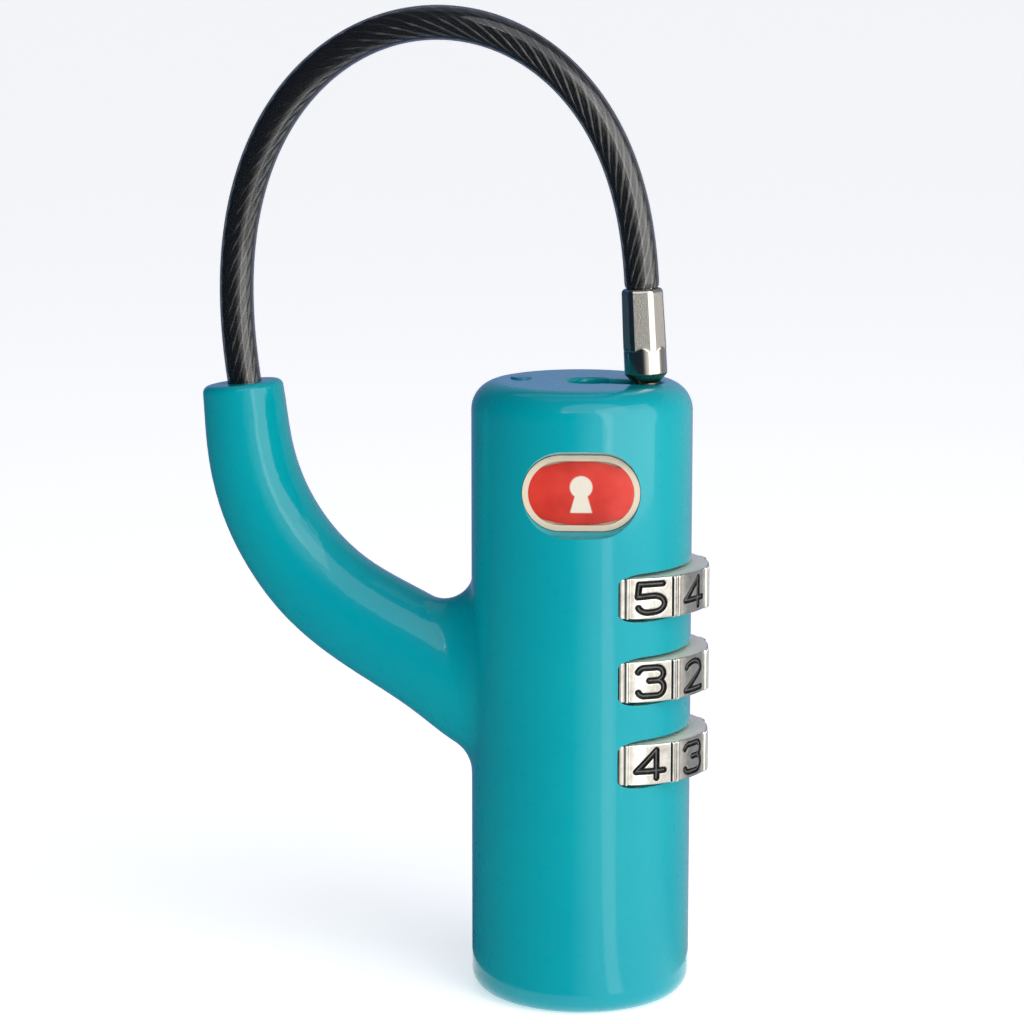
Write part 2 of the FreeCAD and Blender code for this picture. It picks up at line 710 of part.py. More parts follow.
def reset_spring():
    """Short spring between the sleeves and the yoke."""
    low = dial_height(0) + DIAL_PITCH / 2
    return coil(YOKE_COIL_R, YOKE_WIRE_R, low + FIT, YOKE_Z - FIT, YOKE_TURNS)


def detent_spring():
    """Leaf with a finger for each dial, standing in the housing's channel."""
    low = dial_height(DIAL_COUNT - 1) - LEAF_MARGIN
    high = dial_height(0) + LEAF_MARGIN
    leaf = block(LEAF_X, LEAF_X + LEAF_T, CHANNEL_W - LEAF_T, low, high)
    bumps = []
    for index in range(DIAL_COUNT):
        z = dial_height(index)
        bump = Part.makeCylinder(FINGER_R, FINGER_W, V(LEAF_X + LEAF_T / 2, -FINGER_W / 2, z), ACROSS)
        inside = block(LEAF_X, FINGER_END_X, FINGER_W, z - FINGER_HALF_H, z + FINGER_HALF_H)
        bumps.append(bump.common(inside))
    return fused([leaf] + bumps)


# ---- badge ----------------------------------------------------------------------

def badge_plate():
    """Pressed plate in the front pocket, recessed for the enamel."""
    low = BADGE_FACE - BADGE_T + PRESS_GAP
    plate = badge_outline(BADGE_W - 2 * FIT, BADGE_H - 2 * FIT, low, BADGE_FACE - low)
    inset = 2 * ENAMEL_INSET
    return plate.cut(badge_outline(BADGE_W - inset, BADGE_H - inset, BADGE_FACE - ENAMEL_T, 1.0))


def badge_enamel():
    """Enamel filling, level with the plate's border."""
    inset = 2 * (ENAMEL_INSET + PRESS_GAP)
    return badge_outline(BADGE_W - inset, BADGE_H - inset, BADGE_FACE - ENAMEL_T, ENAMEL_T)


# ---- output ---------------------------------------------------------------------

def all_parts():
    """Every node's name and solid."""
    parts = {
        "housing": housing(), "base_cap": base_cap(), "cap_pin": cap_pin(),
        "badge_plate": badge_plate(), "badge_enamel": badge_enamel(),
        "cable_anchor": cable_anchor(), "cable_root": cable_root(),
        "guide_block": guide_block(), "keeper": keeper(),
        "spindle": spindle(), "spindle_spring": spindle_spring(),
        "stack_seat": stack_seat(), "stack_spring": stack_spring(),
        "reset_pin": reset_pin(), "reset_yoke": reset_yoke(), "reset_spring": reset_spring(),
        "detent_spring": detent_spring(),
        "key_plug": key_plug(), "tumbler_wafers": wafers(), "plug_clip": plug_clip(),
        "release_cam": release_cam(), "ferrule": ferrule(), "lock_tip": lock_tip(),
    }
    for index in range(DIAL_COUNT):
        parts[f"dial_{index + 1}"] = dial(index)
        parts[f"code_sleeve_{index + 1}"] = code_sleeve(index)
    for index in range(LINKS):
        parts[f"cable_link_{index + 1}"] = cable_link(index)
    return parts


os.makedirs("parts", exist_ok=True)
for name, shape in all_parts().items():
    shape.exportStep(f"parts/{name}.step")
    print(name, len(shape.Solids), shape.isValid(), round(shape.Volume, 1))
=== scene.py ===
"""Looks of the cable padlock: materials, number wheels, jacketed cable, ferrule, badge and studio."""
import json
import math

import bpy
import numpy as np
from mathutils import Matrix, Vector


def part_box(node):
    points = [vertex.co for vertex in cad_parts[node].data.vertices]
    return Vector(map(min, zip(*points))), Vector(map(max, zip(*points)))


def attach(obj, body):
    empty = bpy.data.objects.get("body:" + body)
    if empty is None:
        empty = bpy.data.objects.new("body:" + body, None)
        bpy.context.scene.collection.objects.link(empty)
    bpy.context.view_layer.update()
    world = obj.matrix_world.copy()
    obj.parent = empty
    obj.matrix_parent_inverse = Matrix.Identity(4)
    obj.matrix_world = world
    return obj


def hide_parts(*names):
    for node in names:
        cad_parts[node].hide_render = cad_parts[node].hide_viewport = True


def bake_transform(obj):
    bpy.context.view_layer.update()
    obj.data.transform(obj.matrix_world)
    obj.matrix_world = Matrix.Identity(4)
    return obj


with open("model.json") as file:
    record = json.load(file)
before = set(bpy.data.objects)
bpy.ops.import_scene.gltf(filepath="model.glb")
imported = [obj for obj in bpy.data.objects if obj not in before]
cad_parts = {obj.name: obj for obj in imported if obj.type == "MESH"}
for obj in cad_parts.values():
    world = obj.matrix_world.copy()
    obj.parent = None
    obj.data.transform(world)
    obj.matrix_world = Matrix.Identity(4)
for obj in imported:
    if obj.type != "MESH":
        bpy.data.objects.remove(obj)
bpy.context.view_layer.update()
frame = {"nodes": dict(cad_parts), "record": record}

MM = 0.001

# ---- sizes in millimetres, as in the CAD model -------------------------------------
STACK_X = 3.5
DIAL_FACES = 10
DIAL_STEP = 2 * math.pi / DIAL_FACES
FIRST_PANEL = math.radians(-56.5)
FRONT_DIGITS = (5, 3, 4)
BAR_TOP = 7.9
PANEL_R = 7.7
DIAL_BORE = 5.45

CABLE_R = 1.5
CABLE_START = (-30.82, 52.77)
CABLE_LENGTH = 74.06
CABLE_LEAN = -9.0
BEND_BASE = 0.916
BEND_PEAK = 2.682
BEND_SKEW = 1.326
LINKS = 8
FIRST_HINGE = 1.8

FERRULE_R = 1.84
FERRULE_LEN = 7.4
CRIMP_END = 5.25
CRIMP_FLAT = 1.69
CRIMP_TURN = math.radians(-97)

BADGE_ANGLE = math.radians(-76.5)
BADGE_Z = 45.75
BADGE_FACE = 8.22
ENAMEL_W = 8.96
ENAMEL_H = 5.46

# ---- sizes in millimetres of what only the visual model has --------------------------
PANEL_COLUMNS = 96
DIAL_ROWS = 61
BAR_OFFSET = 0.26
BAR_INNER = 0.10
BAR_OUTER = 0.24
GAP_LEVEL = 0.55
DIAL_ROUND = 0.16
RIM_BAND = 0.02
DIGIT_W = 2.8
DIGIT_H = 2.45
STROKE = 0.29
GROOVE = 0.13
RIDGE_RISE = 0.05
RIDGE_W = 0.08

TABLE_STEP = 0.05
JACKET_STEP = 0.3
JACKET_COLUMNS = 56
JACKET_END = CABLE_LENGTH + 0.15
JACKET_START = -2.5
ROLL_LENGTH = 0.6
ROLL_DEPTH = 0.32
ROPE_STEP = 0.35
ROPE_LAY = 15.0
STRANDS = 9
STRAND_R = 0.345
STRAND_RING = 0.99
STRAND_COLUMNS = 42
STRAND_WIRES = 7
WIRE_TWIST = 2.1

FERRULE_COLUMNS = 180
FERRULE_ROWS = 150
CRIMP_SIDES = 6
TOP_SPREAD = 0.965
SPREAD_GAIN = 0.035
SEAM_DEPTH = 0.025
SEAM_WIDTH = 0.05
SEAM_OFFSET = 0.12
LIP_ROUND = 0.42
FOOT_ROUND = 0.12
FERRULE_BORE = 1.15
MOUTH_DEPTH = 0.6

ENAMEL_RINGS = 46
ENAMEL_COLUMNS = 220
ENAMEL_SINK = 0.04
ENAMEL_DOME = 0.22
EMBLEM_HEAD_R = 0.95
EMBLEM_HEAD_V = 0.55
SKIRT_HALF_W = 0.32
SKIRT_FLARE = 0.28
SKIRT_FOOT = 1.65
SKIRT_TOP = 0.6
EMBLEM_SOFT = 0.04

# ---- camera and studio, millimetres and radians --------------------------------------
CAMERA_AZIMUTH = math.radians(15.0)
CAMERA_PITCH = math.radians(9.9)
CAMERA_DISTANCE = 296.0
CAMERA_LENS = 119.5
SENSOR_WIDTH = 36.0
AIM_RIGHT = -6.06
AIM_UP = 42.72

FLOOR_HALF = 12000.0
FLOOR_GLOW = 0.55
WORLD_STRENGTH = 0.4
LAMP_AIM = (-8, 0, 40)
KEY_TURN = math.radians(-24)
KEY_DISTANCE = 175
KEY_HEIGHT = 120
SUN_POWER = 1.2
SUN_SPREAD = math.radians(60)
SUN_HEADING = (-0.45, 0.75, -0.9)
BOWL_COLUMNS = 240
BOWL_START = -255


# ---- camera --------------------------------------------------------------------------

def make_camera():
    """Camera at the photograph's viewing angle."""
    right = Vector((math.cos(CAMERA_AZIMUTH), math.sin(CAMERA_AZIMUTH), 0))
    level = math.cos(CAMERA_PITCH)
    back = Vector((math.sin(CAMERA_AZIMUTH) * level, -math.cos(CAMERA_AZIMUTH) * level,
                   math.sin(CAMERA_PITCH)))
    aim = right * (AIM_RIGHT * MM) + Vector((0, 0, AIM_UP * MM))
    data = bpy.data.cameras.new("camera")
    data.sensor_width = SENSOR_WIDTH
    data.lens = CAMERA_LENS
    camera = bpy.data.objects.new("camera", data)
    bpy.context.scene.collection.objects.link(camera)
    camera.location = aim + back * (CAMERA_DISTANCE * MM)
    camera.rotation_mode = "QUATERNION"
    camera.rotation_quaternion = (-back).to_track_quat("-Z", "Y")
    bpy.context.scene.camera = camera


# ---- materials -----------------------------------------------------------------------

class Material:
    """A principled material with a few chained helper nodes."""

    # Sockets of the colour mix node go by index, because its three kinds share their names.
    MIX_FACTOR, MIX_A, MIX_B, MIX_RESULT = 0, 6, 7, 2

    def __init__(self, name, color, roughness, metallic=0.0, **inputs):
        self.material = bpy.data.materials.new(name)
        self.material.use_nodes = True
        self.tree = self.material.node_tree
        self.shader = self.tree.nodes["Principled BSDF"]
        self.shader.inputs["Base Color"].default_value = (*color, 1)
        self.shader.inputs["Roughness"].default_value = roughness
        self.shader.inputs["Metallic"].default_value = metallic
        for key, value in inputs.items():
            self.shader.inputs[key.replace("_", " ")].default_value = value

    def node(self, kind, **values):
        """New node with input values set by name."""
        node = self.tree.nodes.new(kind)
        for key, value in values.items():
            node.inputs[key].default_value = value
        return node

    def link(self, source, target):
        """Joins an output to an input."""
        self.tree.links.new(source, target)

    def drive(self, name, source):
        """Joins an output to one of the shader's own inputs."""
        self.link(source, self.shader.inputs[name])

    def noise(self, scale, detail=2.0, stretch=(1, 1, 1)):
        """Noise over object space; scale is in features per millimetre."""
        place = self.node("ShaderNodeTexCoord")
        mapping = self.node("ShaderNodeMapping")
        mapping.inputs["Scale"].default_value = tuple(s / MM for s in stretch)
        self.link(place.outputs["Object"], mapping.inputs["Vector"])
        noise = self.node("ShaderNodeTexNoise", Scale=scale, Detail=detail)
        self.link(mapping.outputs["Vector"], noise.inputs["Vector"])
        return noise.outputs["Fac"]

    def ramp(self, source, low, high, start=0.3, end=0.7):
        """Value between low and high, following a source."""
        spread = self.node("ShaderNodeMapRange")
        spread.inputs["From Min"].default_value = start
        spread.inputs["From Max"].default_value = end
        spread.inputs["To Min"].default_value = low
        spread.inputs["To Max"].default_value = high
        self.link(source, spread.inputs["Value"])
        return spread.outputs["Result"]

    def sum(self, operation, *operands):
        """Result of a math node whose operands are numbers or outputs."""
        node = self.node("ShaderNodeMath")
        node.operation = operation
        for socket, operand in zip(node.inputs, operands):
            if isinstance(operand, float):
                socket.default_value = operand
            else:
                self.link(operand, socket)
        return node.outputs[0]

    def mix(self, source, first, second):
        """Colour between two, following a source."""
        mix = self.node("ShaderNodeMix")
        mix.data_type = "RGBA"
        for key, value in ((self.MIX_A, first), (self.MIX_B, second)):
            if isinstance(value, tuple):
                mix.inputs[key].default_value = (*value, 1)
            else:
                self.link(value, mix.inputs[key])
        self.link(source, mix.inputs[self.MIX_FACTOR])
        return mix.outputs[self.MIX_RESULT]

    def bump(self, source, height, strength=1.0):
        """Bump from a source, height in millimetres."""
        bump = self.node("ShaderNodeBump", Strength=strength, Distance=height * MM)
        self.link(source, bump.inputs["Height"])
        self.drive("Normal", bump.outputs["Normal"])

    def attribute(self, name, output="Fac"):
        """An attribute of the mesh."""
        node = self.node("ShaderNodeAttribute")
        node.attribute_name = name
        return node.outputs[output]


def enamel(name, color, deep):
    """Glossy sprayed enamel: slight orange peel and a faint drift of colour."""
    m = Material(name, color, roughness=0.3, Specular_IOR_Level=0.05, Coat_Weight=1.0,
                 Coat_Roughness=0.06, Coat_IOR=1.35)
    m.drive("Base Color", m.mix(m.ramp(m.noise(scale=0.09, detail=3), low=0.0, high=1.0), color, deep))
    m.drive("Roughness", m.ramp(m.noise(scale=1.2, detail=2), low=0.24, high=0.40))
    m.bump(m.noise(scale=0.75, detail=1), height=0.02, strength=0.22)
    return m.material


def metal(name, color, low, high, grain=4.0, stretch=(1, 1, 1), height=0.003):
    """Bare metal with a fine grain in its roughness and bump; low and high bound the roughness."""
    m = Material(name, color, roughness=(low + high) / 2, metallic=1.0)
    grain_map = m.noise(grain, 4, stretch)
    m.drive("Roughness", m.ramp(grain_map, low, high))
    darker = tuple(c * 0.86 for c in color)
    m.drive("Base Color", m.mix(m.ramp(m.noise(grain * 0.2, 2), low=0.0, high=1.0), color, darker))
    m.bump(grain_map, height, strength=0.4)
    return m.material


def dial_metal():
    """Chrome with black paint in the engraved digits and duller cut faces above and below, whose lighter,
    warmer colour is a painted highlight.
    """
    m = Material("dial_chrome", (0.66, 0.64, 0.61), roughness=0.16, metallic=1.0, Specular_IOR_Level=0.05)
    cut_face = m.attribute("cut_face")
    worn = m.ramp(m.noise(scale=3.0, detail=3), low=1.0, high=0.96, start=0.5, end=0.75)
    ink = m.sum("MULTIPLY", m.attribute("ink"), worn)
    # cut is a painted highlight: the cut faces get a lighter, warmer colour than the chrome, standing in for
    # the light they catch.
    bright, dull, cut = (0.68, 0.66, 0.62), (0.52, 0.50, 0.46), (0.90, 0.84, 0.74)
    black = (0.006, 0.006, 0.006)
    bare_color = m.mix(m.ramp(m.noise(scale=1.1, detail=3), low=0.0, high=1.0), bright, dull)
    bare_color = m.mix(cut_face, bare_color, cut)
    m.drive("Base Color", m.mix(ink, bare_color, black))
    m.drive("Metallic", m.sum("SUBTRACT", 1.0, ink))
    wear = m.noise(scale=5.0, detail=4, stretch=(1, 1, 0.35))
    m.drive("Roughness", m.sum("MULTIPLY_ADD", cut_face, 0.4, m.ramp(wear, low=0.10, high=0.26)))
    m.bump(wear, height=0.004, strength=0.5)
    return m.material


def ferrule_metal():
    """Polished nickel, frosted where the crimping jaws pressed."""
    m = Material("ferrule_nickel", (0.60, 0.57, 0.52), roughness=0.1, metallic=1.0)
    pressed = m.attribute("pressed")
    pit = m.sum("MULTIPLY", m.noise(scale=7.5, detail=3), pressed)
    m.drive("Roughness", m.sum("MULTIPLY_ADD", pressed, 0.40, 0.17))
    m.drive("Base Color", m.mix(pit, (0.47, 0.45, 0.41), (0.42, 0.40, 0.37)))
    m.bump(pit, height=0.06, strength=0.8)
    return m.material


def jacket_vinyl():
    """Smoked clear vinyl that lets the steel rope show through."""
    m = Material("jacket_vinyl", (0.010, 0.010, 0.011), roughness=0.3, Specular_IOR_Level=0.1,
                 Coat_Weight=1.0, Coat_Roughness=0.05, Coat_IOR=1.6, Alpha=0.75)
    m.drive("Roughness", m.ramp(m.noise(scale=0.8, detail=2), low=0.22, high=0.38))
    m.bump(m.noise(scale=0.45, detail=2), height=0.03, strength=0.3)
    m.material.surface_render_method = "BLENDED"
    return m.material


def badge_paint():
    """Red enamel field with a cream emblem, under a clear layer."""
    m = Material("badge_paint", (0.60, 0.05, 0.035), roughness=0.25, Specular_IOR_Level=0.0,
                 Coat_Weight=1.0, Coat_Roughness=0.03, Coat_IOR=1.4)
    drift = m.ramp(m.noise(scale=0.35, detail=2), low=0.0, high=1.0)
    red = m.mix(drift, (0.66, 0.05, 0.035), (0.50, 0.03, 0.02))
    m.drive("Base Color", m.mix(m.attribute("emblem"), red, (0.72, 0.66, 0.55)))
    m.bump(m.noise(scale=2.5, detail=2), height=0.004, strength=0.4)
    return m.material


# ---- mesh helpers ----------------------------------------------------------------------

def mesh_piece(name, points, faces, material, body=None, sharp=40.0):
    """New piece from points in millimetres; edges over the sharp angle, in degrees, stay hard."""
    mesh = bpy.data.meshes.new(name)
    mesh.from_pydata([tuple(c * MM for c in p) for p in points], [], faces)
    mesh.validate()
    mesh.shade_smooth()
    mesh.set_sharp_from_angle(angle=math.radians(sharp))
    mesh.materials.append(material)
    piece = bpy.data.objects.new(name, mesh)
    bpy.context.scene.collection.objects.link(piece)
    if body:
        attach(piece, body)
    return piece


def float_attribute(piece, name, values):
    """Stores one number per vertex."""
    layer = piece.data.attributes.new(name, "FLOAT", "POINT")
    layer.data.foreach_set("value", np.asarray(values, np.float32))


def ring_faces(rings, around, closed_rings=False):
    """Quads between successive rings of points."""
    faces = []
    count = rings if closed_rings else rings - 1
    for i in range(count):
        a = i * around
        b = ((i + 1) % rings) * around
        for k in range(around):
            n = (k + 1) % around
            faces.append((a + k, a + n, b + n, b + k))
    return faces


def smooth(low, high, value):
    """Smooth step from 0 to 1, for numbers and arrays."""
    t = np.clip((value - low) / (high - low), 0, 1)
    return t * t * (3 - 2 * t)


def rounding(radius, past):
    """How far a rounded edge falls back, by the distance past its start."""
    return radius - np.sqrt(np.clip(radius ** 2 - past ** 2, 0, None))


# ---- digits ----------------------------------------------------------------------------

def arc(cx, cy, rx, ry, start, end, steps=14):
    """Points along part of an ellipse, angles in degrees."""
    angles = [math.radians(start + (end - start) * k / steps) for k in range(steps + 1)]
    return [(cx + rx * math.cos(a), cy + ry * math.sin(a)) for a in angles]


# Centre lines of the digits in a box one unit wide and high, centred on zero.
DIGIT_STROKES = {
    0: [arc(0, 0.12, 0.42, 0.38, 0, 180) + arc(0, -0.12, 0.42, 0.38, 180, 360) + [(0.42, 0.12)]],
    1: [[(-0.2, 0.28), (0.06, 0.5), (0.06, -0.5)]],
    2: [arc(0, 0.22, 0.4, 0.28, 160, -20) + [(-0.42, -0.5), (0.44, -0.5)]],
    3: [[(-0.42, 0.36)] + arc(-0.22, 0.3, 0.2, 0.2, 150, 90) + arc(0.18, 0.27, 0.24, 0.23, 90, -80)
        + [(-0.06, 0.04)],
        [(0.18, 0.04)] + arc(0.2, -0.23, 0.24, 0.27, 80, -90) + arc(-0.22, -0.3, 0.2, 0.2, 270, 200)],
    4: [[(0.46, -0.24), (-0.46, -0.24), (0.2, 0.5), (0.2, -0.5)]],
    5: [[(0.38, 0.5), (-0.4, 0.5), (-0.44, 0.06), (-0.06, 0.08)] + arc(0.06, -0.2, 0.38, 0.29, 90, -90)
        + arc(-0.12, -0.24, 0.32, 0.26, 270, 200)],
    6: [[(0.34, 0.42)] + arc(0.02, 0.1, 0.44, 0.4, 60, 180) + arc(0, -0.18, 0.42, 0.32, 180, 540)],
    7: [[(-0.42, 0.5), (0.42, 0.5), (-0.1, -0.5)]],
    8: [arc(0, 0.25, 0.34, 0.25, -90, 270), arc(0, -0.25, 0.42, 0.25, -90, 270)],
    9: [arc(0, 0.18, 0.42, 0.32, 0, 360) + arc(-0.02, -0.1, 0.44, 0.4, 0, -120)],
}
FAR = 9.0


def stroke_distance(x, y, digit):
    """Distance from points to a digit's centre lines, in millimetres."""
    best = np.full(x.shape, FAR)
    for line in DIGIT_STROKES[digit]:
        points = [(px * DIGIT_W, py * DIGIT_H) for px, py in line]
        for (ax, ay), (bx, by) in zip(points, points[1:]):
            dx, dy = bx - ax, by - ay
            length_squared = dx * dx + dy * dy + 1e-12
            t = np.clip(((x - ax) * dx + (y - ay) * dy) / length_squared, 0, 1)
            best = np.minimum(best, np.hypot(x - ax - t * dx, y - ay - t * dy))
    return best


# ---- number wheels -------------------------------------------------------------------

def make_dial(index, material):
    """Number wheel with double bars between panels and engraved digits."""
    node = f"dial_{index + 1}"
    low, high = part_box(node)
    z_mid = (low.z + high.z) / 2 / MM
    half = (high.z - low.z) / 2 / MM
    columns = DIAL_FACES * PANEL_COLUMNS
    turn = np.arange(columns) * 2 * math.pi / columns
    angle, z = np.meshgrid(turn, np.linspace(-half, half, DIAL_ROWS))
    panel = np.floor((angle - FIRST_PANEL) / DIAL_STEP + 0.5)
    across = (angle - FIRST_PANEL - panel * DIAL_STEP) * PANEL_R
    from_edge = np.abs(np.abs(across) - DIAL_STEP * PANEL_R / 2)
    bars = 1 - smooth(BAR_INNER, BAR_OUTER, np.abs(from_edge - BAR_OFFSET))
    bars = np.maximum(bars, GAP_LEVEL * (from_edge < BAR_OFFSET))
    radius = PANEL_R + (BAR_TOP - PANEL_R) * bars
    depth = np.zeros_like(radius)
    ink = np.zeros_like(radius)
    for k in range(DIAL_FACES):
        digit = (FRONT_DIGITS[index] - k) % DIAL_FACES
        here = (panel.astype(int) % DIAL_FACES) == k
        d = stroke_distance(across[here], z[here], digit)
        groove = GROOVE * (1 - smooth(STROKE * 0.45, STROKE * 1.1, d))
        depth[here] = groove - RIDGE_RISE * (1 - smooth(0, RIDGE_W, d))
        painted = 1 - smooth(STROKE * 0.95, STROKE * 1.15, d)
        ink[here] = painted * (0.80 + 0.20 * smooth(0.02, 0.07, d))
    past = np.clip(np.abs(z) - (half - DIAL_ROUND), 0, None)
    radius = radius - depth - rounding(DIAL_ROUND, past)
    x = STACK_X + radius * np.cos(angle)
    y = radius * np.sin(angle)
    points = np.stack([x, y, z + z_mid], -1).reshape(-1, 3).tolist()
    for level in (half, -half):
        points += [(STACK_X + DIAL_BORE * math.cos(a), DIAL_BORE * math.sin(a), z_mid + level) for a in turn]
    faces = ring_faces(DIAL_ROWS + 2, columns, closed_rings=True)
    piece = mesh_piece(f"number_wheel_{index + 1}", points, faces, material, node, sharp=50)
    rim = np.abs(z) > half - RIM_BAND
    float_attribute(piece, "ink", np.concatenate([ink.reshape(-1), np.zeros(2 * columns)]))
    float_attribute(piece, "cut_face", np.concatenate([rim.reshape(-1), np.ones(2 * columns)]))
    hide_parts(node)


# ---- cable -----------------------------------------------------------------------------

def cable_table():
    """Rows of distance, place and heading along the cable."""
    count = int(CABLE_LENGTH / TABLE_STEP)
    rows = [(0.0, *CABLE_START, math.radians(CABLE_LEAN))]
    for _ in range(count):
        distance, x, z, heading = rows[-1]
        along = (distance + TABLE_STEP / 2) / CABLE_LENGTH
        bend = math.radians(BEND_BASE + BEND_PEAK * math.sin(math.pi * along ** BEND_SKEW)) * TABLE_STEP
        middle = heading + bend / 2
        rows.append((distance + TABLE_STEP, x + math.sin(middle) * TABLE_STEP,
                     z + math.cos(middle) * TABLE_STEP, heading + bend))
    return np.array(rows)


CABLE = cable_table()


def cable_frame(distance):
    """Place, forward and sideways directions on the cable, in millimetres."""
    s = min(max(distance, 0.0), CABLE[-1, 0])
    x, z, heading = (np.interp(s, CABLE[:, 0], CABLE[:, c]) for c in (1, 2, 3))
    forward = Vector((math.sin(heading), 0, math.cos(heading)))
    side = Vector((math.cos(heading), 0, -math.sin(heading)))
    return Vector((x, 0, z)) + forward * (distance - s), forward, side


def hinge_distance(index):
    """Distance along the cable of one of its hinges."""
    return FIRST_HINGE + index * (CABLE_LENGTH - FIRST_HINGE) / LINKS


def swept(start, end, step, outline):
    """Points and faces of a tube whose outline is a function of distance."""
    count = max(2, math.ceil((end - start) / step) + 1)
    points = []
    for k in range(count):
        s = start + (end - start) * k / (count - 1)
        centre, _, side = cable_frame(s)
        shape = outline(s)
        points += [tuple(centre + side * u + Vector((0, 1, 0)) * v) for u, v in shape]
    return points, ring_faces(count, len(points) // count)


def jacket_outline(s):
    """Round jacket with a rolled end at the ferrule's mouth."""
    left = JACKET_END - s
    radius = CABLE_R
    if left < ROLL_LENGTH:
        radius = CABLE_R - ROLL_DEPTH * (1 - math.sqrt(max(0.0, 1 - (1 - left / ROLL_LENGTH) ** 2)))
    angles = [2 * math.pi * k / JACKET_COLUMNS for k in range(JACKET_COLUMNS)]
    return [(radius * math.cos(a), radius * math.sin(a)) for a in angles]


def strand_outline(strand):
    """Outline function of one strand, with seven wires round its edge; the last strand is the core."""
    def outline(s):
        lay = 2 * math.pi * (s / ROPE_LAY + strand / STRANDS)
        cx, cy = STRAND_RING * math.cos(lay), STRAND_RING * math.sin(lay)
        if strand == STRANDS:
            cx = cy = 0.0
        shape = []
        for k in range(STRAND_COLUMNS):
            a = 2 * math.pi * k / STRAND_COLUMNS
            wires = abs(math.cos(STRAND_WIRES / 2 * a + s * WIRE_TWIST))
            r = STRAND_R * (0.95 + 0.07 * wires)
            shape.append((cx + r * math.cos(a), cy + r * math.sin(a)))
        return shape
    return outline


def make_cable(jacket, steel):
    """Jacket and rope in pieces, cut halfway between neighbouring hinges and baked in place."""
    hinges = [hinge_distance(k) for k in range(LINKS)]
    cuts = [JACKET_START] + [(a + b) / 2 for a, b in zip(hinges, hinges[1:])] + [JACKET_END]
    for k in range(LINKS):
        start, end = cuts[k], cuts[k + 1]
        points, faces = swept(start, end, JACKET_STEP, jacket_outline)
        tube = mesh_piece(f"jacket_{k + 1}", points, faces, jacket, None, sharp=80)
        rope_points, rope_faces = [], []
        for strand in range(STRANDS + 1):
            p, f = swept(start, min(end, CABLE_LENGTH), ROPE_STEP, strand_outline(strand))
            base = len(rope_points)
            rope_points += p
            rope_faces += [tuple(i + base for i in face) for face in f]
        rope = mesh_piece(f"rope_{k + 1}", rope_points, rope_faces, steel, None, sharp=80)
        for piece in (tube, rope):
            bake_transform(piece)
        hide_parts(f"cable_link_{k + 1}")
        if k == 0:
            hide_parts("cable_root")


# ---- ferrule ---------------------------------------------------------------------------

def make_ferrule(material):
    """Crimped sleeve: frosted flats run out into a plain polished ring."""
    around, rows = FERRULE_COLUMNS, FERRULE_ROWS
    top, forward, side = cable_frame(CABLE_LENGTH)
    across = Vector((0, 1, 0))
    s = np.linspace(0, FERRULE_LEN, rows)
    a = np.arange(around) * 2 * math.pi / around
    angle, along = np.meshgrid(a, s)
    sector = 2 * math.pi / CRIMP_SIDES
    local = (angle - CRIMP_TURN + sector / 2) % sector - sector / 2
    spread = TOP_SPREAD + SPREAD_GAIN * smooth(0, CRIMP_END, along)
    round_r = FERRULE_R * spread
    flat_r = CRIMP_FLAT * spread / np.cos(local)
    scallop = 0.18 * np.cos(local * CRIMP_SIDES)
    crimped = 1 - smooth(CRIMP_END - 0.12, CRIMP_END + 0.05, along + scallop)
    flattened = round_r - flat_r
    radius = round_r - crimped * np.clip(flattened, 0, None)
    pressed = crimped * smooth(0.012, 0.03, flattened) * smooth(0.25, 0.5, along)
    seam = np.exp(-((along - CRIMP_END - SEAM_OFFSET) / SEAM_WIDTH) ** 2)
    radius = radius - SEAM_DEPTH * seam
    radius = radius - rounding(LIP_ROUND, np.clip(LIP_ROUND - along, 0, None))
    radius = radius - rounding(FOOT_ROUND, np.clip(along - (FERRULE_LEN - FOOT_ROUND), 0, None))
    points = []
    for i in range(rows):
        centre = top + forward * float(s[i])
        points += [tuple(centre + side * float(radius[i, k] * math.cos(a[k]))
                         + across * float(radius[i, k] * math.sin(a[k]))) for k in range(around)]
    for depth in (FERRULE_LEN, MOUTH_DEPTH):
        centre = top + forward * depth
        points += [tuple(centre + side * FERRULE_BORE * math.cos(t) + across * FERRULE_BORE * math.sin(t))
                   for t in a]
    faces = ring_faces(rows + 2, around, closed_rings=True)
    piece = mesh_piece("crimp_ferrule", points, faces, material, "ferrule", sharp=50)
    float_attribute(piece, "pressed", np.concatenate([pressed.reshape(-1), np.zeros(2 * around)]))
    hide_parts("ferrule")


# ---- badge -----------------------------------------------------------------------------

def make_badge_enamel(material):
    """Slightly domed oval enamel with a keyhole emblem."""
    half_line = (ENAMEL_W - ENAMEL_H) / 2
    normal = Vector((math.cos(BADGE_ANGLE), math.sin(BADGE_ANGLE), 0))
    side = Vector((-normal.y, normal.x, 0))
    points, emblem = [], []
    for i in range(ENAMEL_RINGS + 1):
        share = i / ENAMEL_RINGS
        for k in range(ENAMEL_COLUMNS):
            a = 2 * math.pi * k / ENAMEL_COLUMNS
            straight = half_line * max(-1.0, min(1.0, 1.6 * math.cos(a)))
            u = share * (straight + ENAMEL_H / 2 * math.cos(a))
            v = share * ENAMEL_H / 2 * math.sin(a)
            rise = ENAMEL_DOME * (1 - share ** 4)
            place = normal * (BADGE_FACE - ENAMEL_SINK + rise) + side * u + Vector((0, 0, BADGE_Z + v))
            points.append(tuple(place))
            emblem.append(emblem_mask(u, v))
    faces = ring_faces(ENAMEL_RINGS + 1, ENAMEL_COLUMNS)
    piece = mesh_piece("enamel_oval", points, faces, material, "housing", sharp=60)
    float_attribute(piece, "emblem", emblem)
    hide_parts("badge_enamel")


